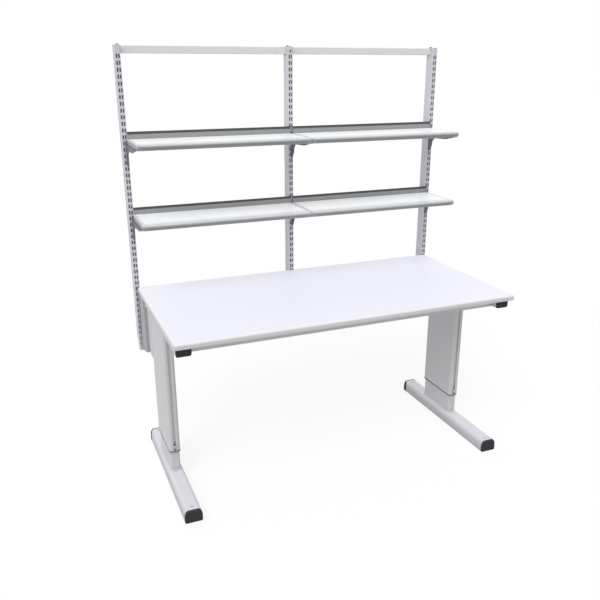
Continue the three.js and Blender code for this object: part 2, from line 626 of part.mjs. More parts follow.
// Outer frame bracket: a plate hooked into the upright's inner slots, bent inwards at its front edge
// to a flange that lies on the spacer behind the outer column, with a narrow ear beside the side beam
function frameBracket() {
  const edge = UPRIGHT_FRONT_Y - TOUCH_GAP;
  const flangeFront = SLEEVE_REAR_Y + SPACER_DEPTH + 2 * TOUCH_GAP;
  const top = TOP_UNDER_Z - BRACKET_TOP_GAP;
  const low = SPACER_BOTTOM_Z - FRAME_BRACKET_SLANT;
  const blade = push(polygon([
    [flangeFront, top],
    [edge, top],
    ...hookedEdge(everySecond(slotsBetween(low, top))),
    [edge, low + BRACKET_CORNER],
    [edge - BRACKET_CORNER, low],
    [flangeFront, SPACER_BOTTOM_Z],
  ]), PLATE, ALONG_X).translate(-INNER_SLOT_X - PLATE / 2, 0, 0);
  const flangeWidth = INNER_SLOT_X + PLATE / 2 - (LEG_CENTRE_X - SLEEVE_WIDTH / 2);
  const flange = box(flangeWidth, PLATE, SPACER_TOP_Z - SPACER_BOTTOM_Z).translate(
    -INNER_SLOT_X - PLATE / 2 + flangeWidth / 2,
    flangeFront + PLATE / 2,
    (SPACER_TOP_Z + SPACER_BOTTOM_Z) / 2,
  );
  const earWidth = INNER_SLOT_X + PLATE / 2 - (LEG_CENTRE_X + BEAM_WIDTH / 2) - TOUCH_GAP;
  const earLow = SPACER_TOP_Z - PLATE;
  const ear = box(earWidth, PLATE, top - earLow).translate(
    -INNER_SLOT_X - PLATE / 2 + earWidth / 2,
    flangeFront + PLATE / 2,
    (top + earLow) / 2,
  );
  return join(blade, flange, ear);
}

function spacer() {
  const outline = tubeOutline(SLEEVE_WIDTH, SPACER_DEPTH, SLEEVE_WALL, SPACER_RADIUS);
  return push(outline, SPACER_TOP_Z - SPACER_BOTTOM_Z, UPWARDS)
    .translate(0, SLEEVE_REAR_Y + TOUCH_GAP + SPACER_DEPTH / 2, SPACER_BOTTOM_Z);
}

// Middle frame bracket: a plate hooked into the upright, with a flange on the rear rail
function middleBracket() {
  const edge = UPRIGHT_FRONT_Y - TOUCH_GAP;
  const flangeFront = TOP_REAR_Y - RAIL_INSET + TOUCH_GAP;
  const top = TOP_UNDER_Z - BRACKET_TOP_GAP;
  const low = top - MIDDLE_BRACKET_HEIGHT;
  const flangeLow = top - RAIL_HEIGHT;
  const blade = push(polygon([
    [flangeFront, top],
    [edge, top],
    ...hookedEdge(everySecond(slotsBetween(low, top))),
    [edge, low],
    [flangeFront, flangeLow],
  ]), PLATE, ALONG_X).translate(SLOT_OFFSET - PLATE / 2, 0, 0);
  const flange = box(MIDDLE_FLANGE_WIDTH, PLATE, RAIL_HEIGHT)
    .translate(0, flangeFront + PLATE / 2, top - RAIL_HEIGHT / 2);
  return join(blade, flange);
}

function buildUprights() {
  const uprights = [
    { name: "left", x: -UPRIGHT_SPACING, windows: [1] },
    { name: "middle", x: 0, windows: [-1, 1] },
    { name: "right", x: UPRIGHT_SPACING, windows: [-1] },
  ];
  for (const { name, x, windows } of uprights) {
    piece(bench, `upright_${name}`, upright(windows).translate(x, 0, 0), GREY_PAINT);
  }
  piece(bench, "top_bar", topBar(), GREY_PAINT);
  piece(bench, "frame_bracket_left", frameBracket(), GREY_PAINT);
  piece(bench, "frame_bracket_right", mirrorX(frameBracket()), GREY_PAINT);
  piece(bench, "frame_bracket_middle", middleBracket(), GREY_PAINT);
  for (const { name, sign } of SIDES) {
    piece(bench, `bracket_spacer_${name}`, spacer().translate(sign * LEG_CENTRE_X, 0, 0), GREY_PAINT);
  }
}

// Shelf: one folded sheet with a half-round nose, a rear leg and a hemmed upstand that runs out over the
// end caps
function shelfSheet() {
  const noseY = SHELF_FRONT_Y + NOSE_RADIUS;
  const upstandFace = SHELF_REAR_Y - SHEET;
  const upstand = polygon([
    [SHELF_REAR_Y, TOUCH_GAP],
    [SHELF_REAR_Y, UPSTAND_HEIGHT],
    [upstandFace - SHEET, UPSTAND_HEIGHT],
    [upstandFace - SHEET, UPSTAND_HEIGHT - HEM_HEIGHT],
    [upstandFace, UPSTAND_HEIGHT - HEM_HEIGHT],
    [upstandFace, TOUCH_GAP],
  ]);
  const profile = new THREE.Shape();
  profile.moveTo(SHELF_REAR_Y, -NOSE_HEIGHT);
  profile.lineTo(SHELF_REAR_Y, UPSTAND_HEIGHT - HEM_HEIGHT);
  profile.lineTo(upstandFace, UPSTAND_HEIGHT - HEM_HEIGHT);
  profile.lineTo(upstandFace, 0);
  profile.absarc(noseY, -NOSE_RADIUS, NOSE_RADIUS, Math.PI / 2, Math.PI * 1.5);
  profile.lineTo(noseY + NOSE_LIP, -NOSE_HEIGHT);
  profile.lineTo(noseY + NOSE_LIP, SHEET - NOSE_HEIGHT);
  profile.absarc(noseY, -NOSE_RADIUS, NOSE_RADIUS - SHEET, Math.PI * 1.5, Math.PI / 2, true);
  profile.lineTo(upstandFace, -SHEET);
  profile.lineTo(upstandFace, -NOSE_HEIGHT);
  profile.closePath();
  const length = SHELF_LENGTH - 2 * (SHELF_CAP_LENGTH + TOUCH_GAP);
  const upstandLength = SHELF_LENGTH - 2 * UPSTAND_END_INSET;
  return join(
    push(profile, length, ALONG_X, 3 * WIDE_ARC).translate(-length / 2, 0, 0),
    push(upstand, upstandLength, ALONG_X).translate(-upstandLength / 2, 0, 0),
  );
}

// Side view of the shelf without its upstand, drawn in by an inset
function shelfOutline(inset) {
  const noseY = SHELF_FRONT_Y + NOSE_RADIUS;
  const outline = new THREE.Shape();
  outline.moveTo(SHELF_REAR_Y - inset, inset - NOSE_HEIGHT);
  outline.lineTo(SHELF_REAR_Y - inset, -inset);
  outline.absarc(noseY, -NOSE_RADIUS, NOSE_RADIUS - inset, Math.PI / 2, Math.PI * 1.5);
  outline.closePath();
  return outline;
}

// End cap with a rounded outer edge, facing +X
function shelfCap() {
  return endCap({
    rim: shelfOutline(SHELF_CAP_BEVEL),
    plug: shelfOutline(SHEET + SLIDE_GAP),
    thickness: SHELF_CAP_LENGTH,
    bevel: SHELF_CAP_BEVEL,
    rounding: SHELF_CAP_ROUNDING,
    plugDepth: SHELF_CAP_PLUG,
    direction: ALONG_X,
    arc: 3 * WIDE_ARC,
  });
}

// Shelf bracket: an arm that tapers to its front end, a hollow curve and a gusset down the upright.
// Its rear edge hooks into the slots, and a flange along the arm carries the shelf.
function shelfBracket(shelfZ, flangeSides) {
  const edge = UPRIGHT_FRONT_Y - TOUCH_GAP;
  const seat = shelfZ - NOSE_HEIGHT - TOUCH_GAP;
  const out = (distance) => UPRIGHT_FRONT_Y - distance;
  const hooks = slotsBetween(shelfZ - GUSSET_TIP_DROP - SLOT_HEIGHT / 2, seat).slice(0, HOOK_COUNT);
  const outline = polygon([
    [out(ARM_LENGTH), seat],
    [edge, seat],
    ...hookedEdge(hooks),
    [edge, shelfZ - GUSSET_TIP_DROP],
    [out(GUSSET_TIP_OUT), shelfZ - GUSSET_TIP_DROP],
    [out(GUSSET_TAPER_OUT), shelfZ - GUSSET_TAPER_DROP],
    [out(GUSSET_OUT), shelfZ - GUSSET_CURVE_DROP],
  ]);
  outline.quadraticCurveTo(
    out(GUSSET_CURVE_OUT), shelfZ - ARM_ROOT_DROP, out(ARM_ROOT_OUT), shelfZ - ARM_ROOT_DROP);
  outline.lineTo(out(ARM_KNEE_OUT), shelfZ - ARM_KNEE_DROP);
  outline.lineTo(out(ARM_LENGTH), shelfZ - ARM_TIP_DROP);
  outline.closePath();
  const blade = push(outline, PLATE, ALONG_X).translate(-PLATE / 2, 0, 0);
  const flangeLength = ARM_LENGTH - 2 * ARM_FLANGE_INSET;
  const flanges = flangeSides.map((sign) =>
    box(ARM_FLANGE_WIDTH, flangeLength, ARM_FLANGE_THICKNESS).translate(
      sign * (ARM_FLANGE_WIDTH - PLATE) / 2, out(ARM_LENGTH / 2), seat - ARM_FLANGE_THICKNESS / 2));
  return join(blade, ...flanges);
}

function buildShelves() {
  const bracketPlaces = [
    { name: "left", x: -INNER_SLOT_X, flanges: [1] },
    { name: "middle", x: SLOT_OFFSET, flanges: [-1, 1] },
    { name: "right", x: INNER_SLOT_X, flanges: [-1] },
  ];
  const capRim = SHELF_LENGTH / 2 - SHELF_CAP_LENGTH;
  for (const level of LEVELS) {
    for (const { name, sign } of SIDES) {
      const shelf = new THREE.Group();
      const label = `shelf_${level.name}_${name}`;
      shelf.position.set(SHELF_SEAM_X + sign * (SHELF_LENGTH + SHELF_SEAM_GAP) / 2, 0, level.z);
      bench.add(shelf);
      piece(shelf, label, shelfSheet(), SHELF_PAINT);
      piece(shelf, `${label}_cap_right`, shelfCap().translate(capRim, 0, 0), SHELF_CAP_PLASTIC);
      piece(shelf, `${label}_cap_left`, mirrorX(shelfCap().translate(capRim, 0, 0)), SHELF_CAP_PLASTIC);
    }
    for (const { name, x, flanges } of bracketPlaces) {
      const bracket = shelfBracket(level.z, flanges).translate(x, 0, 0);
      piece(bench, `shelf_bracket_${level.name}_${name}`, bracket, BRACKET_PAINT);
    }
  }
}

piece(bench, "worktop", worktop(), WHITE_LAMINATE);
piece(bench, "front_rail", rail(TOP_FRONT_Y + RAIL_INSET + RAIL_DEPTH / 2), GREY_PAINT);
piece(bench, "rear_rail", rail(TOP_REAR_Y - RAIL_INSET - RAIL_DEPTH / 2), GREY_PAINT);
SIDES.forEach(buildLeg);
buildUprights();
buildShelves();

export default bench;
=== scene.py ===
"""Looks of a height-adjustable lab bench with a reagent shelf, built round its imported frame."""

import json
import math

import bmesh
import bpy
from mathutils import Matrix, Vector


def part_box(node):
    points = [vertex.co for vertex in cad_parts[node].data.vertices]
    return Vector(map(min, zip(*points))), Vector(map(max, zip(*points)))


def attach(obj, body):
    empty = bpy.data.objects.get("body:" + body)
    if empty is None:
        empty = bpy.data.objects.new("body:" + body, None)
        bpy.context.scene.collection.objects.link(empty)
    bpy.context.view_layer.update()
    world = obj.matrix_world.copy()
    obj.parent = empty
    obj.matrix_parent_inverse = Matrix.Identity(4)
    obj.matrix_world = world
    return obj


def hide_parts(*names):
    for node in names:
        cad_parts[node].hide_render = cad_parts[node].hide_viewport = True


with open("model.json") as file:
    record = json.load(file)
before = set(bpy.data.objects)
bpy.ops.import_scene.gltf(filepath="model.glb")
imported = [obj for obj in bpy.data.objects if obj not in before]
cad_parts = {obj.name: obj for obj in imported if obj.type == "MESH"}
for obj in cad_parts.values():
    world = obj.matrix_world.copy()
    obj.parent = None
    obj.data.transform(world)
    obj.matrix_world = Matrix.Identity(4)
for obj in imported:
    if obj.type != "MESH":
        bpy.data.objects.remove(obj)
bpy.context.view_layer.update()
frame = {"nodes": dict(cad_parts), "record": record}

MM = 0.001

# Camera, in metres and degrees, solved from the photograph's perspective
PICTURE_SIZE = 600
CAMERA_PLACE = (-1.19016, -2.68237, 1.7254)
CAMERA_TURN = -22.48
CAMERA_TILT = -19.46
FOCAL_PIXELS = 688.66
OPTICAL_CENTRE = (303.56, 308.86)
SENSOR_WIDTH = 36.0

# Light: strengths, spreads in degrees, and the directions that the lamps shine from
WORLD_LIGHT = 0.48
KEY_STRENGTH = 0.8
KEY_SPREAD = 32.0
KEY_FROM = (-0.45, -0.50, 0.74)
FILL_STRENGTH = 0.5
FILL_SPREAD = 70.0
FILL_FROM = (-0.80, -0.45, 0.15)
TOP_STRENGTH = 1.32
TOP_SPREAD = 20.0
TOP_FROM = (-0.12, -0.10, 0.98)
FLOOR_SEEN = 0.92
FLOOR_BOUNCE = 0.42
FLOOR_GLOW = 0.72
FLOOR_FADE = (1.3, 3.2)  # metres from the middle, where the floor turns to white
FLOOR_HALF = 14.0

SHARP_ANGLE = 35.0  # degrees between faces, past which an edge stays sharp
EDGE_WEAR_GAIN = 6.0  # how soon a bend of the rounded normal counts as a worn edge
ROUGHNESS_SWING = 0.1  # between the clouds of a coat
STREAK_CONTRAST = (3.0, -1.0)  # gain and offset that sharpen the streaks' noise

# Where the painted shade towards the shelves' nose ends and their pale face begins, as shares of their depth
# from the nose
SHELF_FRONT_SHADE_TO = 0.03
SHELF_PALE_FROM = 0.26

# Sizes of the CAD pieces that the frame doesn't state
FOOT_SHOULDER_WIDTH = 16 * MM
FOOT_SHOULDER_DROP = 28 * MM
FOOT_SOLE_RADIUS = 6 * MM
NOSE_RADIUS = 10.0 * MM
INNER_COLUMN_RADIUS = 8 * MM
OUTER_COLUMN_RADIUS = 11 * MM

# Sizes of the added pieces
FACE_GAP = 0.1 * MM  # between an added piece and the face that it lies on
WORKTOP_TOP_RADIUS = 8.0 * MM
WORKTOP_UNDER_RADIUS = 2.5 * MM
WORKTOP_CORNER_RADIUS = 11.0 * MM
WORKTOP_RIM = 1.0 * MM  # level band inside the rounded edges
WORKTOP_EDGE_STEPS = 8
BAR_SCREW_SHIFT = 5.0 * MM
BAR_PIN_DROP = 2.5 * MM  # below the middle of the cross bar
CHEEK_TOP_ANGLE = 65.0  # degrees up the shoulder
CHEEK_REACH = 17 * MM  # forward of the foot bar's rear end, at the sole
CHEEK_LEAST_REACH = 1.5 * MM  # at the top
CHEEK_WALL = 0.9 * MM
CHEEK_BEVEL = 0.8 * MM
LIP_DROP = 4.0 * MM
LIP_REACH = 5.6 * MM  # behind the middle of the nose
LIP_START = 1.08  # half turns from the rear over the top, to just under the nose's tip
LIP_SWEEP = 0.42  # from there to straight below
LIP_FEATHER = 0.05 * MM  # thickness where the lip starts
LIP_HEEL_BEVEL = 1.2 * MM
LIP_CAP_INSET = 2.5 * MM  # short of the end caps' outer faces
BEAD_SIZE = 3.0 * MM
BEAD_SINK = 0.3 * MM  # how far a weld bead runs into what it joins
BOLT_SEAT = 3.6 * MM  # bracket flange and its gaps, past the spacer or rail that it is bolted to
RAIL_BOLT_PLACES = (-13 * MM, 18 * MM)  # x of the two bolts in the rear rail
SPACER_BOLT_SHARES = (0.25, 0.75)  # of the spacer's height

TABLE = "table_and_shelves"
SIDES = ("left", "right")
ENDS = ("front", "rear")
LEVELS = ("upper", "lower")
UPRIGHTS = ("left", "middle", "right")


# Small helpers for node trees

MIX_COLOUR_INPUTS = (0, 6, 7)  # places of the factor and the two colours among a Mix node's sockets
MIX_COLOUR_OUTPUT = 2


def feed(tree, socket, value):
    """Sets a socket to a value, or links it to another node's output."""
    if isinstance(value, bpy.types.NodeSocket):
        tree.links.new(value, socket)
    else:
        socket.default_value = value


def add_node(tree, kind, settings=None, **inputs):
    """Adds a node; settings are attributes, inputs are socket values or other nodes' outputs."""
    node = tree.nodes.new(kind)
    for key, value in (settings or {}).items():
        setattr(node, key, value)
    for key, value in inputs.items():
        feed(tree, node.inputs[key.replace("_", " ")], value)
    return node


def math_node(tree, operation, *values, clamp=False):
    node = add_node(tree, "ShaderNodeMath", {"operation": operation, "use_clamp": clamp})
    for socket, value in zip(node.inputs, values):
        feed(tree, socket, value)
    return node.outputs[0]


def vector_node(tree, operation, *values):
    node = add_node(tree, "ShaderNodeVectorMath", {"operation": operation})
    for socket, value in zip(node.inputs, values):
        feed(tree, socket, value)
    return node.outputs


def mix_colour(tree, factor, first, second, blend="MIX"):
    node = add_node(tree, "ShaderNodeMix", {"data_type": "RGBA", "blend_type": blend})
    for place, value in zip(MIX_COLOUR_INPUTS, (factor, first, second)):
        feed(tree, node.inputs[place], value)
    return node.outputs[MIX_COLOUR_OUTPUT]


def smooth_step(tree, value, low, high, start=0.0):
    """Rises smoothly from a start to 1 as a value goes from low to high."""
    node = add_node(tree, "ShaderNodeMapRange", {"interpolation_type": "SMOOTHSTEP"}, Value=value,
                    From_Min=low, From_Max=high, To_Min=start)
    return node.outputs["Result"]


def new_group(name, inputs, outputs):
    """An empty shader node group with float inputs (name, value) and outputs (name, kind)."""
    group = bpy.data.node_groups.new(name, "ShaderNodeTree")
    for label, value in inputs:
        socket = group.interface.new_socket(label, in_out="INPUT", socket_type="NodeSocketFloat")
        socket.default_value = value
    for label, kind in outputs:
        group.interface.new_socket(label, in_out="OUTPUT", socket_type=kind)
    source = group.nodes.new("NodeGroupInput")
    sink = group.nodes.new("NodeGroupOutput")
    return group, source.outputs, sink.inputs


def place_group(tree, group, **values):
    return add_node(tree, "ShaderNodeGroup", {"node_tree": group}, **values).outputs


def object_point(tree):
    return add_node(tree, "ShaderNodeTexCoord").outputs["Object"]


def new_material(name):
    """A material with an empty node tree."""
    material = bpy.data.materials.new(name)
    material.use_nodes = True
    material.node_tree.nodes.clear()
    return material


# Effects that several finishes share

def make_coat_grain():
    """Orange-peel of a sprayed or moulded skin: a height, and a cloudy mask at a larger scale."""
    group, given, out = new_group(
        "coat_grain",
        [("Grain Scale", 900.0), ("Cloud Scale", 6.0)],
        [("Height", "NodeSocketFloat"), ("Cloud", "NodeSocketFloat")],
    )
    point = object_point(group)
    peel = add_node(group, "ShaderNodeTexNoise", Vector=point, Scale=given["Grain Scale"], Detail=3.0)
    cloud = add_node(group, "ShaderNodeTexNoise", Vector=point, Scale=given["Cloud Scale"], Detail=5.0,
                     Roughness=0.6)
    group.links.new(peel.outputs["Fac"], out["Height"])
    group.links.new(cloud.outputs["Fac"], out["Cloud"])
    return group


def make_edge_wear():
    """Mask of worn outer edges, broken up by noise, and the rounded normal that goes with it."""
    group, given, out = new_group(
        "edge_wear",
        [("Radius", 1.2 * MM), ("Amount", 1.0), ("Break Scale", 60.0)],
        [("Mask", "NodeSocketFloat"), ("Normal", "NodeSocketVector")],
    )
    rounded = add_node(group, "ShaderNodeBevel", {"samples": 4}, Radius=given["Radius"]).outputs["Normal"]
    true_normal = add_node(group, "ShaderNodeNewGeometry").outputs["Normal"]
    facing = vector_node(group, "DOT_PRODUCT", rounded, true_normal)["Value"]
    bend = math_node(group, "SUBTRACT", 1.0, facing)
    noise = add_node(group, "ShaderNodeTexNoise", Vector=object_point(group), Scale=given["Break Scale"],
                     Detail=4.0)
    broken = math_node(group, "MULTIPLY", bend, noise.outputs["Fac"])
    strong = math_node(group, "MULTIPLY", broken, EDGE_WEAR_GAIN)
    mask = math_node(group, "MULTIPLY", strong, given["Amount"], clamp=True)
    group.links.new(mask, out["Mask"])
    group.links.new(rounded, out["Normal"])
    return group


def make_corner_dust_and_shade():
    """Mask of inner corners and narrow gaps, where dust gathers and where shade is painted."""
    group, given, out = new_group(
        "corner_dust_and_shade",
        [("Reach", 0.02), ("Amount", 0.5)],
        [("Mask", "NodeSocketFloat")],
    )
    openness = add_node(group, "ShaderNodeAmbientOcclusion", {"samples": 6}, Distance=given["Reach"])
    closed = math_node(group, "SUBTRACT", 1.0, openness.outputs["AO"])
    group.links.new(math_node(group, "MULTIPLY", closed, given["Amount"], clamp=True), out["Mask"])
    return group


def make_drawn_streaks():
    """Fine streaks along X, as rolled sheet shows through a thin coat."""
    group, given, out = new_group(
        "drawn_streaks",
        [("Across", 420.0), ("Along", 3.0)],
        [("Mask", "NodeSocketFloat")],
    )
    stretch = add_node(group, "ShaderNodeCombineXYZ", X=given["Along"], Y=given["Across"], Z=given["Across"])
    scaled = vector_node(group, "MULTIPLY", object_point(group), stretch.outputs["Vector"])["Vector"]
    noise = add_node(group, "ShaderNodeTexNoise", Vector=scaled, Scale=1.0, Detail=4.0)
    sharpened = math_node(group, "MULTIPLY_ADD", noise.outputs["Fac"], *STREAK_CONTRAST, clamp=True)
    group.links.new(sharpened, out["Mask"])
    return group


def make_level_face():
    """1 where the surface looks up, falling to 0 as it turns over between two slopes."""
    group, given, out = new_group(
        "level_face",
        [("Turned Over", 0.3), ("Level", 0.95)],
        [("Mask", "NodeSocketFloat")],
    )
    normal = add_node(group, "ShaderNodeNewGeometry").outputs["Normal"]
    upward = add_node(group, "ShaderNodeSeparateXYZ", Vector=normal).outputs["Z"]
    group.links.new(smooth_step(group, upward, given["Turned Over"], given["Level"]), out["Mask"])
    return group


COAT_GRAIN = make_coat_grain()
EDGE_WEAR = make_edge_wear()
CORNER_DUST_AND_SHADE = make_corner_dust_and_shade()
DRAWN_STREAKS = make_drawn_streaks()
LEVEL_FACE = make_level_face()


def facing_up(tree, turned_over, level):
    return place_group(tree, LEVEL_FACE, Turned_Over=turned_over, Level=level)["Mask"]


def coated_finish(name, *, colour, cloudy, worn, dust_and_shade_colour, roughness, grain_scale=900.0, grain_depth=0.03 * MM,
                  edge_radius=1.2 * MM, wear=0.6, dust_and_shade=0.35, dust_and_shade_reach=0.02, metallic=0.0, specular=0.5):
    """A coated or moulded finish: cloudy colour, lighter worn edges, corners darkened by dust and painted
    shade, and a fine grain.
    """
    material = new_material(name)
    tree = material.node_tree
    grain = place_group(tree, COAT_GRAIN, Grain_Scale=grain_scale)
    edge = place_group(tree, EDGE_WEAR, Radius=edge_radius, Amount=wear)
    # Painted shade, with some dust: faces close to other parts are darkened towards a dark colour.
    corner = place_group(tree, CORNER_DUST_AND_SHADE, Amount=dust_and_shade, Reach=dust_and_shade_reach)
    base = mix_colour(tree, grain["Cloud"], (*colour, 1), (*cloudy, 1))
    base = mix_colour(tree, edge["Mask"], base, (*worn, 1))
    base = mix_colour(tree, corner["Mask"], base, (*dust_and_shade_colour, 1))
    smoothest = roughness - ROUGHNESS_SWING / 2
    rough = math_node(tree, "MULTIPLY_ADD", grain["Cloud"], ROUGHNESS_SWING, smoothest)
    bump = add_node(tree, "ShaderNodeBump", Height=grain["Height"], Normal=edge["Normal"],
                    Distance=grain_depth)
    shader = add_node(tree, "ShaderNodeBsdfPrincipled", Base_Color=base, Roughness=rough, Metallic=metallic,
                      Specular_IOR_Level=specular, Normal=bump.outputs["Normal"])
    add_node(tree, "ShaderNodeOutputMaterial", Surface=shader.outputs["BSDF"])
    return material


def open_colour(material):
    """A coated finish's node tree, the colour that it has all over, and the socket that the colour feeds."""
    tree = material.node_tree
    socket = tree.nodes["Principled BSDF"].inputs["Base Color"]
    return tree, socket.links[0].from_socket, socket


def frame_paint():
    """Light grey powder coat on the beams, rails, spacers and columns, with painted shade darkening them
    close to other parts, such as under the worktop.
    """
    return coated_finish(
        "frame_paint", colour=(0.665, 0.665, 0.68), cloudy=(0.705, 0.705, 0.72), worn=(0.77, 0.77, 0.785),
        dust_and_shade_colour=(0.24, 0.24, 0.25), roughness=0.5, grain_depth=0.04 * MM, dust_and_shade=0.8, dust_and_shade_reach=0.03)


def cool_paint():
    """Light grey powder coat with a cool tint on the slotted uprights, with painted shade darkening the
    insides of the slots.
    """
    return coated_finish(
        "cool_paint", colour=(0.68, 0.68, 0.735), cloudy=(0.72, 0.72, 0.77), worn=(0.79, 0.79, 0.84),
        dust_and_shade_colour=(0.045, 0.045, 0.075), roughness=0.5, grain_depth=0.04 * MM, dust_and_shade=1.15, dust_and_shade_reach=0.012)


def foot_paint():
    """Cool grey powder coat on the foot bars, with painted shade making it duller down their flanks."""
    material = coated_finish(
        "foot_paint", colour=(0.62, 0.62, 0.67), cloudy=(0.66, 0.66, 0.705), worn=(0.73, 0.73, 0.775),
        dust_and_shade_colour=(0.16, 0.16, 0.17), roughness=0.5, grain_depth=0.04 * MM, dust_and_shade=0.9, dust_and_shade_reach=0.02)
    tree, plain, colour = open_colour(material)
    # Painted shade: faces turned away from the top, down the flanks, are multiplied darker.
    level = facing_up(tree, -0.1, 0.75)
    shaded_flank = mix_colour(tree, 1.0, plain, (0.88, 0.88, 0.86, 1), "MULTIPLY")
    tree.links.new(mix_colour(tree, level, shaded_flank, plain), colour)
    return material


def bar_paint():
    """Light grey powder coat on the cross bar."""
    return coated_finish(
        "bar_paint", colour=(0.84, 0.84, 0.835), cloudy=(0.88, 0.88, 0.875), worn=(0.91, 0.91, 0.91),
        dust_and_shade_colour=(0.55, 0.55, 0.55), roughness=0.5, grain_depth=0.04 * MM, dust_and_shade=0.1)


def worktop_laminate():
    """White laminate with a fine pearl texture and a slightly greyer edge band, which painted shade blends
    in across the rounded edge.
    """
    material = coated_finish(
        "worktop_laminate", colour=(0.815, 0.815, 0.905), cloudy=(0.84, 0.835, 0.925),
        worn=(0.85, 0.85, 0.91), dust_and_shade_colour=(0.66, 0.66, 0.72), roughness=0.5, grain_scale=1400.0,
        grain_depth=0.03 * MM, edge_radius=1.0 * MM, wear=0.3, dust_and_shade=0.2)
    tree, plain, colour = open_colour(material)
    # Painted shade: the colour darkens from the level top across the rounded edge into the greyer edge band.
    level = facing_up(tree, 0.75, 1.0)
    tree.links.new(mix_colour(tree, level, (0.73, 0.73, 0.74, 1), plain), colour)
    return material


def shelf_paint():
    """Satin coat on rolled sheet: pale on the shelf face and grey on the upstand, with painted shade towards
    the nose and down its curve.
    """
    material = coated_finish(
        "shelf_paint", colour=(0.29, 0.30, 0.305), cloudy=(0.33, 0.34, 0.345), worn=(0.44, 0.45, 0.46),
        dust_and_shade_colour=(0.10, 0.10, 0.11), roughness=0.36, grain_scale=1100.0, grain_depth=0.01 * MM, wear=0.5,
        dust_and_shade=0.5, specular=0.35)
    tree, plain, colour = open_colour(material)
    streaks = place_group(tree, DRAWN_STREAKS)
    pale = mix_colour(tree, streaks["Mask"], (0.91, 0.92, 0.935, 1), (0.94, 0.945, 0.955, 1))
    front_shade = mix_colour(tree, streaks["Mask"], (0.60, 0.615, 0.625, 1), (0.66, 0.675, 0.685, 1))
    # Painted shade: the face darkens towards the nose, over the front of each shelf's depth.
    depth = add_node(tree, "ShaderNodeSeparateXYZ", Vector=object_point(tree)).outputs["Y"]
    low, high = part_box("shelf_lower_left")
    change = [low.y + share * (high.y - low.y) for share in (SHELF_FRONT_SHADE_TO, SHELF_PALE_FROM)]
    face = mix_colour(tree, smooth_step(tree, depth, *change), front_shade, pale)
    # Painted shade across the nose: the colour grades from the pale face to the grey of the turned faces as
    # they turn from the top.
    level = facing_up(tree, -0.2, 0.95)
    tree.links.new(mix_colour(tree, level, plain, face), colour)
    return material


def shelf_cap_plastic():
    """Grey moulded plastic on the shelf ends, with painted light making it paler where it faces up, like the
    shelf face.
    """
    material = coated_finish(
        "shelf_cap_plastic", colour=(0.38, 0.38, 0.43), cloudy=(0.42, 0.42, 0.47), worn=(0.52, 0.52, 0.57),
        dust_and_shade_colour=(0.07, 0.07, 0.09), roughness=0.42, grain_scale=1600.0, grain_depth=0.02 * MM, dust_and_shade=0.8,
        dust_and_shade_reach=0.05)
    tree, plain, colour = open_colour(material)
    # Painted light: faces turned up are painted paler, like the lit shelf face.
    level = facing_up(tree, 0.5, 0.97)
    tree.links.new(mix_colour(tree, level, plain, (0.68, 0.68, 0.74, 1)), colour)
    return material


def bracket_paint():
    """Grey powder coat on the shelf brackets, darkened as painted shade from the shelves above, with more
    painted shade close to the shelf.
    """
    return coated_finish(
        "bracket_paint", colour=(0.19, 0.19, 0.215), cloudy=(0.22, 0.22, 0.245), worn=(0.32, 0.32, 0.345),
        dust_and_shade_colour=(0.05, 0.05, 0.06), roughness=0.5, edge_radius=0.8 * MM, dust_and_shade=1.0, dust_and_shade_reach=0.08,
        specular=0.15)


def plate_paint():
    """Grey powder coat on the plates that carry the uprights."""
    return coated_finish(
        "plate_paint", colour=(0.42, 0.42, 0.45), cloudy=(0.46, 0.46, 0.49), worn=(0.56, 0.56, 0.59),
        dust_and_shade_colour=(0.11, 0.11, 0.13), roughness=0.5, edge_radius=0.8 * MM, dust_and_shade=0.15, dust_and_shade_reach=0.03)


def black_plastic():
    """Black moulded plastic of the end caps and levelling feet."""
    return coated_finish(
        "black_plastic", colour=(0.042, 0.041, 0.046), cloudy=(0.060, 0.059, 0.066),
        worn=(0.10, 0.10, 0.11), dust_and_shade_colour=(0.012, 0.012, 0.014), roughness=0.6, grain_scale=1900.0,
        grain_depth=0.05 * MM, wear=0.5, specular=0.08)


def collar_plastic():
    """Grey moulded plastic of the column collars."""
    return coated_finish(
        "collar_plastic", colour=(0.22, 0.22, 0.23), cloudy=(0.26, 0.26, 0.27), worn=(0.38, 0.38, 0.39),
        dust_and_shade_colour=(0.09, 0.09, 0.09), roughness=0.55, grain_scale=1600.0)


def plug_plastic():
    """Pale grey moulded plastic of the plugs in the foot bars."""
    return coated_finish(
        "plug_plastic", colour=(0.50, 0.50, 0.53), cloudy=(0.55, 0.55, 0.58), worn=(0.64, 0.64, 0.67),
        dust_and_shade_colour=(0.20, 0.20, 0.22), roughness=0.55, grain_scale=1600.0)


def guide_plastic():
    """Natural plastic of the guides inside the columns."""
    return coated_finish(
        "guide_plastic", colour=(0.46, 0.46, 0.42), cloudy=(0.52, 0.52, 0.48), worn=(0.60, 0.60, 0.56),
        dust_and_shade_colour=(0.22, 0.22, 0.20), roughness=0.5)


def zinc_steel():
    """Zinc plated steel of the lock screws, nuts and bolts."""
    return coated_finish(
        "zinc_steel", colour=(0.52, 0.53, 0.55), cloudy=(0.60, 0.60, 0.60), worn=(0.72, 0.72, 0.73),
        dust_and_shade_colour=(0.16, 0.16, 0.16), roughness=0.32, grain_scale=2500.0, grain_depth=0.01 * MM,
        edge_radius=0.4 * MM, metallic=1.0)


def dark_screw_steel():
    """Blackened steel of the small screws on top of the uprights."""
    return coated_finish(
        "dark_screw_steel", colour=(0.09, 0.09, 0.10), cloudy=(0.12, 0.12, 0.13), worn=(0.30, 0.30, 0.31),
        dust_and_shade_colour=(0.04, 0.04, 0.04), roughness=0.38, grain_scale=2500.0, grain_depth=0.01 * MM,
        edge_radius=0.4 * MM, metallic=0.8)


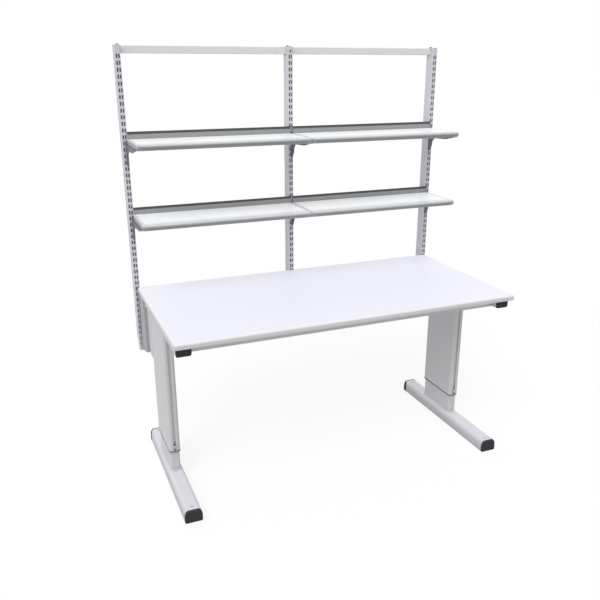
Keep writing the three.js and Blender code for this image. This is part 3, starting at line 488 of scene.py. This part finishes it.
def upstand_trim():
    """Dark edge strip on the shelves' upstands."""
    return coated_finish(
        "upstand_trim", colour=(0.045, 0.045, 0.045), cloudy=(0.065, 0.065, 0.065),
        worn=(0.12, 0.12, 0.12), dust_and_shade_colour=(0.02, 0.02, 0.02), roughness=0.4, grain_scale=1600.0)


FINISHES = {
    make.__name__: make()
    for make in (frame_paint, cool_paint, foot_paint, bar_paint, worktop_laminate, shelf_paint,
                 shelf_cap_plastic, bracket_paint, plate_paint, black_plastic, collar_plastic, plug_plastic,
                 guide_plastic, zinc_steel, dark_screw_steel, upstand_trim)
}


# Finishes and soft facets on the frame's own pieces

def make_soft_facets():
    """Geometry nodes that shade faces smooth except across sharp edges."""
    group = bpy.data.node_groups.new("soft_facets", "GeometryNodeTree")
    for way in ("INPUT", "OUTPUT"):
        group.interface.new_socket("Geometry", in_out=way, socket_type="NodeSocketGeometry")
    source = group.nodes.new("NodeGroupInput")
    sink = group.nodes.new("NodeGroupOutput")
    angle = add_node(group, "GeometryNodeInputMeshEdgeAngle").outputs["Unsigned Angle"]
    sharp = add_node(group, "FunctionNodeCompare", {"operation": "GREATER_THAN"}, A=angle,
                     B=math.radians(SHARP_ANGLE))
    smooth = add_node(group, "GeometryNodeSetShadeSmooth", {"domain": "FACE"}, Geometry=source.outputs[0])
    split = add_node(group, "GeometryNodeSetShadeSmooth", {"domain": "EDGE"},
                     Geometry=smooth.outputs["Geometry"], Selection=sharp.outputs[0], Shade_Smooth=False)
    group.links.new(split.outputs["Geometry"], sink.inputs[0])
    return group


SOFT_FACETS = make_soft_facets()


def soften(piece):
    modifier = piece.modifiers.new("soft_facets", "NODES")
    modifier.node_group = SOFT_FACETS


# Nodes whose paint looks different from the rest of their material slot, by the start of their names
OWN_FINISHES = (
    ("upright_", "cool_paint"),
    ("foot_bar_", "foot_paint"),
    ("top_bar", "bar_paint"),
    ("frame_bracket_", "plate_paint"),
)


def dress_frame():
    """Gives each CAD node its finish, by its material slot in the record or by its name."""
    slots = {row["node"]: row["material_slot"] for row in frame["record"]["subparts"]}
    for name, piece in frame["nodes"].items():
        finish = next((own for start, own in OWN_FINISHES if name.startswith(start)), slots[name])
        piece.data.materials.clear()
        piece.data.materials.append(FINISHES[finish])
        soften(piece)


# Small pieces added to the frame

def new_object(name, data):
    item = bpy.data.objects.new(name, data)
    bpy.context.scene.collection.objects.link(item)
    return item


def add_piece(name, shape, body, finish):
    """Turns a bmesh into a piece that rides on a body of the frame."""
    bmesh.ops.recalc_face_normals(shape, faces=shape.faces)
    mesh = bpy.data.meshes.new(name)
    shape.to_mesh(mesh)
    shape.free()
    mesh.materials.append(FINISHES[finish])
    piece = new_object(name, mesh)
    soften(piece)
    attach(piece, body)
    return piece


def turned(profile, steps=32):
    """A bmesh turned about Z from (radius, height) points in mm, closed where the radius is 0."""
    shape = bmesh.new()
    rings = []
    for radius_mm, height_mm in profile:
        radius, height = radius_mm * MM, height_mm * MM
        if radius == 0:
            rings.append([shape.verts.new((0, 0, height))])
            continue
        turns = [2 * math.pi * i / steps for i in range(steps)]
        rings.append([shape.verts.new((radius * math.cos(t), radius * math.sin(t), height)) for t in turns])
    for low, high in zip(rings, rings[1:]):
        for i in range(steps):
            j = (i + 1) % steps
            corners = [low[i % len(low)], low[j % len(low)], high[j % len(high)], high[i % len(high)]]
            distinct = list(dict.fromkeys(corners))
            if len(distinct) > 2:
                shape.faces.new(distinct)
    return shape


def skin(shape, rings, closed=False):
    """Faces between successive rings of corners, closed into a loop or else with a face at both ends."""
    following = rings[1:] + rings[:1] if closed else rings[1:]
    for ring, after in zip(rings, following):
        for i in range(len(ring)):
            j = (i + 1) % len(ring)
            shape.faces.new((ring[i], ring[j], after[j], after[i]))
    if not closed:
        shape.faces.new(rings[0])
        shape.faces.new(reversed(rings[-1]))


def pushed(outline, start, end):
    """A bmesh of a (y, z) outline pushed along X."""
    shape = bmesh.new()
    skin(shape, [[shape.verts.new((x, y, z)) for y, z in outline] for x in (start, end)])
    return shape


def along(shape, direction, place):
    """Turns a bmesh's Z axis to a direction and moves its origin to a place."""
    turn = Vector(direction).to_track_quat("Z", "Y").to_matrix().to_4x4()
    bmesh.ops.transform(shape, matrix=Matrix.Translation(place) @ turn, verts=shape.verts)
    return shape


def middle_of(node):
    low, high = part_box(node)
    return (low + high) / 2


def rounded_rectangle(low, high, inset, radius, steps=8):
    """Points (x, y) round a rectangle with rounded corners, inset from its sides."""
    points = []
    corners = ((high.x, high.y), (low.x, high.y), (low.x, low.y), (high.x, low.y))
    for quarter, (x, y) in enumerate(corners):
        middle_x = x - math.copysign(inset + radius, x - (low.x + high.x) / 2)
        middle_y = y - math.copysign(inset + radius, y - (low.y + high.y) / 2)
        for step in range(steps + 1):
            angle = (quarter + step / steps) * math.pi / 2
            points.append((middle_x + radius * math.cos(angle), middle_y + radius * math.sin(angle)))
    return points


def add_worktop_board():
    """Laminated board with rounded edges, in the place of the frame's plain board."""
    low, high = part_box("worktop")
    under, over, steps = WORKTOP_UNDER_RADIUS, WORKTOP_TOP_RADIUS, WORKTOP_EDGE_STEPS
    profile = [(under + WORKTOP_RIM, low.z)]
    for step in range(steps + 1):
        angle = step / steps * math.pi / 2
        profile.append((under * (1 - math.sin(angle)), low.z + under * (1 - math.cos(angle))))
    for step in range(steps + 1):
        angle = step / steps * math.pi / 2
        profile.append((over * (1 - math.cos(angle)), high.z - over * (1 - math.sin(angle))))
    profile.append((over + WORKTOP_RIM, high.z))
    shape = bmesh.new()
    loops = []
    for inset, height in profile:
        outline = rounded_rectangle(low, high, inset, WORKTOP_CORNER_RADIUS - inset)
        loops.append([shape.verts.new((x, y, height)) for x, y in outline])
    skin(shape, loops)
    board = add_piece("worktop_board", shape, TABLE, "worktop_laminate")
    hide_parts("worktop")


def add_bar_screws():
    """Pan-head screw with a washer on top of each upright, holding the cross bar."""
    bar = middle_of("top_bar")
    for name, shift in zip(UPRIGHTS, (BAR_SCREW_SHIFT, 0, -BAR_SCREW_SHIFT)):
        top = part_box(f"upright_{name}")[1].z
        head = turned([
            (0, 0), (6.0, 0), (6.0, 1.0), (4.6, 1.2), (4.6, 3.0), (3.8, 4.2), (2.2, 4.7), (1.6, 4.7),
            (1.4, 3.2), (0, 3.2),
        ])
        place = (middle_of(f"upright_{name}").x + shift, bar.y, top + FACE_GAP)
        screw = along(head, (0, 0, 1), place)
        add_piece(f"bar_screw_{name}", screw, TABLE, "dark_screw_steel")


def add_bar_pin():
    """Button-head screw in the middle upright's front wall, into the cross bar."""
    low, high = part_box("upright_middle")
    bar = middle_of("top_bar")
    head = turned([
        (0, 0), (4.5, 0), (4.5, 0.8), (3.6, 1.9), (2.2, 2.4), (1.8, 2.4), (1.6, 1.2), (0, 1.2),
    ])
    place = ((low.x + high.x) / 2, low.y - FACE_GAP, bar.z - BAR_PIN_DROP)
    add_piece("bar_pin_middle", along(head, (0, -1, 0), place), TABLE, "collar_plastic")


def add_access_plugs():
    """Domed plug over each levelling foot, in the top of the foot bars."""
    for side in SIDES:
        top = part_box(f"foot_bar_{side}")[1].z
        for end in ENDS:
            stud = middle_of(f"levelling_foot_{side}_{end}")
            plug = turned([
                (0, -3.0), (5.4, -3.0), (5.4, 0.1), (8.0, 0.1), (7.8, 0.7), (6.2, 1.4), (3.4, 1.9), (0, 2.1),
            ])
            shape = along(plug, (0, 0, 1), (stud.x, stud.y, top))
            add_piece(f"access_plug_{side}_{end}", shape, f"{side}_base", "plug_plastic")


def foot_flank(width, height, margin, sole_steps=6, shoulder_steps=12):
    """Points (x, z) from the sole up to the oval shoulder on one side of a foot bar, grown by a margin."""
    shoulder, drop, sole = FOOT_SHOULDER_WIDTH, FOOT_SHOULDER_DROP, FOOT_SOLE_RADIUS
    points = []
    for step in range(sole_steps + 1):
        angle = (step / sole_steps - 1) * math.pi / 2
        points.append((width / 2 - sole + (sole + margin) * math.cos(angle),
                       sole + (sole + margin) * math.sin(angle)))
    for step in range(shoulder_steps + 1):
        angle = step / shoulder_steps * math.radians(CHEEK_TOP_ANGLE)
        points.append((width / 2 - shoulder + (shoulder + margin) * math.cos(angle),
                       height - drop + (drop + margin) * math.sin(angle)))
    return points


def add_heel_cheeks():
    """Black cheeks of the rear foot caps, reaching forward along both flanks of the foot bars."""
    for side in SIDES:
        low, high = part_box(f"foot_bar_{side}")
        middle = (low.x + high.x) / 2
        sizes = (high.x - low.x, high.z - low.z)
        shape = bmesh.new()
        for hand in (-1, 1):
            inner = foot_flank(*sizes, FACE_GAP)
            outer = foot_flank(*sizes, FACE_GAP + CHEEK_WALL)
            rings = []
            for i, (near, far) in enumerate(zip(inner, outer)):
                share = i / (len(inner) - 1)
                front = high.y - CHEEK_LEAST_REACH - (CHEEK_REACH - CHEEK_LEAST_REACH) * (1 - share ** 3)
                corners = [(near, high.y), (far, high.y), (far, front + CHEEK_BEVEL), (near, front)]
                rings.append([shape.verts.new((middle + hand * x, y, low.z + z)) for (x, z), y in corners])
            skin(shape, rings)
        add_piece(f"heel_cheeks_{side}", shape, f"{side}_base", "black_plastic")


def add_upstand_trims():
    """Dark edge strip clipped over the hem of each shelf's upstand."""
    hem, wall, leg, crown, clear = 3.0 * MM, 0.8 * MM, 6.5 * MM, 3.2 * MM, 0.15 * MM
    for level in LEVELS:
        for side in SIDES:
            low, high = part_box(f"shelf_{level}_{side}")
            front, rear, top = high.y - hem - clear, high.y + clear, high.z + clear
            outline = [
                (front - wall, top - leg), (front, top - leg), (front, top), (rear, top), (rear, top - leg),
                (rear + wall, top - leg), (rear + wall, top + 0.6 * crown), (rear, top + crown),
                (front, top + crown), (front - wall, top + 0.6 * crown),
            ]
            strip = pushed(outline, low.x, high.x)
            add_piece(f"upstand_trim_{level}_{side}", strip, TABLE, "upstand_trim")


def nose_lip_outline(front, bottom, steps=12):
    """Points (y, z) of a lip that thickens from the lower half of a shelf's round nose to its underside."""
    centre = (front + NOSE_RADIUS, bottom + NOSE_RADIUS)
    outer, inner = [], []
    for step in range(steps + 1):
        share = step / steps
        angle = math.pi * (LIP_START + LIP_SWEEP * share)
        for points, grown in ((inner, FACE_GAP), (outer, FACE_GAP + LIP_FEATHER + LIP_DROP * share ** 2)):
            reached = NOSE_RADIUS + grown
            points.append((centre[0] + reached * math.cos(angle), centre[1] + reached * math.sin(angle)))
    heel = centre[0] + LIP_REACH
    back = [
        (heel - LIP_HEEL_BEVEL, bottom - LIP_DROP),
        (heel, bottom - LIP_DROP + LIP_HEEL_BEVEL),
        (heel, bottom - FACE_GAP),
    ]
    return outer + back + inner[::-1]


def add_nose_lips():
    """Lip under the round nose of each shelf and of its end caps."""
    clear, seam = 0.2 * MM, 0.3 * MM
    for level in LEVELS:
        for side in SIDES:
            shelf = f"shelf_{level}_{side}"
            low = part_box(shelf)[0]
            outline = nose_lip_outline(low.y, low.z)
            caps = [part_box(f"{shelf}_cap_{end}") for end in SIDES]
            sheet = (caps[0][1].x + clear, caps[1][0].x - clear)
            lip = pushed(outline, *sheet)
            add_piece(f"nose_lip_{level}_{side}", lip, TABLE, "shelf_paint")
            ends = (
                (caps[0][0].x + LIP_CAP_INSET, sheet[0] - seam),
                (sheet[1] + seam, caps[1][1].x - LIP_CAP_INSET),
            )
            for end, span in zip(SIDES, ends):
                add_piece(f"nose_lip_{level}_{side}_{end}", pushed(outline, *span), TABLE,
                          "shelf_cap_plastic")


def bead_ring(low, high, radius, height, rise):
    """A weld bead with a rounded back round a column with rounded corners, lying at a height."""
    section = [
        (-BEAD_SINK, 0), (BEAD_SIZE, 0), (0.75 * BEAD_SIZE, 0.45 * rise), (0.4 * BEAD_SIZE, 0.8 * rise),
        (-BEAD_SINK, rise),
    ]
    shape = bmesh.new()
    rings = []
    for out, up in section:
        outline = rounded_rectangle(low, high, -out, radius + out, steps=6)
        rings.append([shape.verts.new((x, y, height + up)) for x, y in outline])
    skin(shape, rings, closed=True)
    return shape


def add_welds():
    """Weld beads where the inner columns stand on the foot bars and the outer ones meet the side beams."""
    for side in SIDES:
        low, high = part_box(f"inner_column_{side}")
        bead = bead_ring(low, high, INNER_COLUMN_RADIUS, low.z - BEAD_SINK, BEAD_SIZE)
        add_piece(f"foot_weld_{side}", bead, f"{side}_base", "frame_paint")
        low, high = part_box(f"outer_column_{side}")
        bead = bead_ring(low, high, OUTER_COLUMN_RADIUS, high.z + BEAD_SINK, -BEAD_SIZE)
        add_piece(f"beam_weld_{side}", bead, TABLE, "frame_paint")


def hexagon_bolt():
    """Hexagon head with a chamfered top on a flat washer, about Z."""
    shape = turned([(0, 0), (9, 0), (9, 1.4), (8.6, 1.6), (0, 1.6)])
    head = turned([(0, 1.6), (7.2, 1.6), (7.5, 2.0), (7.5, 6.0), (6.2, 7.0), (0, 7.0)], steps=6)
    spare = bpy.data.meshes.new("bolt_head")
    head.to_mesh(spare)
    head.free()
    shape.from_mesh(spare)
    bpy.data.meshes.remove(spare)
    return shape


def add_bracket_bolts():
    """Two bolts through the flange of each frame bracket."""
    for name in UPRIGHTS:
        if name == "middle":
            low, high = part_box("rear_rail")
            face = high.y + BOLT_SEAT
            places = [(x, face, (low.z + high.z) / 2) for x in RAIL_BOLT_PLACES]
        else:
            low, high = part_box(f"bracket_spacer_{name}")
            face = high.y + BOLT_SEAT
            heights = [low.z + share * (high.z - low.z) for share in SPACER_BOLT_SHARES]
            places = [((low.x + high.x) / 2, face, height) for height in heights]
        for i, place in enumerate(places):
            shape = along(hexagon_bolt(), (0, 1, 0), place)
            add_piece(f"bracket_bolt_{name}_{i + 1}", shape, TABLE, "zinc_steel")


# Camera, light and floor

def add_camera():
    data = bpy.data.cameras.new("photo_camera")
    data.sensor_width = SENSOR_WIDTH
    data.lens = FOCAL_PIXELS / PICTURE_SIZE * SENSOR_WIDTH
    data.shift_x = (PICTURE_SIZE / 2 - OPTICAL_CENTRE[0]) / PICTURE_SIZE
    data.shift_y = (OPTICAL_CENTRE[1] - PICTURE_SIZE / 2) / PICTURE_SIZE
    camera = new_object("photo_camera", data)
    camera.location = CAMERA_PLACE
    camera.rotation_euler = (math.radians(90 + CAMERA_TILT), 0, math.radians(CAMERA_TURN))
    bpy.context.scene.camera = camera


def add_sun(name, strength, spread, source, shadow=True):
    data = bpy.data.lights.new(name, "SUN")
    data.energy = strength
    data.angle = math.radians(spread)
    data.use_shadow = shadow
    sun = new_object(name, data)
    sun.rotation_euler = (-Vector(source)).to_track_quat("-Z", "Y").to_euler()


def seen_directly(tree):
    """1 for rays from the camera and for mirror and glass rays, 0 for light on surfaces."""
    path = tree.nodes.new("ShaderNodeLightPath")
    either = math_node(tree, "MAXIMUM", path.outputs["Is Camera Ray"], path.outputs["Is Glossy Ray"])
    return math_node(tree, "MAXIMUM", either, path.outputs["Is Transmission Ray"])


def add_world():
    """White where it is seen, dimmer as a light on surfaces."""
    world = bpy.data.worlds.new("studio")
    world.use_nodes = True
    tree = world.node_tree
    tree.nodes.clear()
    strength = math_node(tree, "MULTIPLY_ADD", seen_directly(tree), 1.0 - WORLD_LIGHT, WORLD_LIGHT)
    glow = add_node(tree, "ShaderNodeBackground", Color=(1, 1, 1, 1), Strength=strength)
    add_node(tree, "ShaderNodeOutputWorld", Surface=glow.outputs[0])
    bpy.context.scene.world = world


def add_floor():
    """Floor that turns to the world's white away from the bench, and bounces less light than it shows."""
    mesh = bpy.data.meshes.new("studio_floor")
    corners = [(x * FLOOR_HALF, y * FLOOR_HALF, 0) for x, y in ((-1, -1), (1, -1), (1, 1), (-1, 1))]
    mesh.from_pydata(corners, [], [(0, 1, 2, 3)])
    floor = new_object("studio_floor", mesh)
    material = new_material("studio_floor")
    tree = material.node_tree
    seen = seen_directly(tree)
    bounce, shown = [(grey, grey, grey, 1) for grey in (FLOOR_BOUNCE, FLOOR_SEEN)]
    tone = mix_colour(tree, seen, bounce, shown)
    matt = add_node(tree, "ShaderNodeBsdfDiffuse", Color=tone)
    glow = add_node(tree, "ShaderNodeEmission", Color=(1, 1, 1, 1), Strength=1.0)
    distance = vector_node(tree, "LENGTH", object_point(tree))["Value"]
    far = smooth_step(tree, distance, *FLOOR_FADE, start=FLOOR_GLOW)
    share = math_node(tree, "MULTIPLY", seen, far)
    mixed = add_node(tree, "ShaderNodeMixShader", Fac=share)
    tree.links.new(matt.outputs[0], mixed.inputs[1])
    tree.links.new(glow.outputs[0], mixed.inputs[2])
    add_node(tree, "ShaderNodeOutputMaterial", Surface=mixed.outputs[0])
    mesh.materials.append(material)


dress_frame()
add_worktop_board()
add_bar_screws()
add_bar_pin()
add_access_plugs()
add_heel_cheeks()
add_upstand_trims()
add_nose_lips()
add_welds()
add_bracket_bolts()
add_camera()
add_world()
add_floor()
add_sun("key_light", KEY_STRENGTH, KEY_SPREAD, KEY_FROM)
add_sun("fill_light", FILL_STRENGTH, FILL_SPREAD, FILL_FROM)
add_sun("top_light", TOP_STRENGTH, TOP_SPREAD, TOP_FROM, shadow=False)
bpy.context.scene.view_settings.view_transform = "Standard"
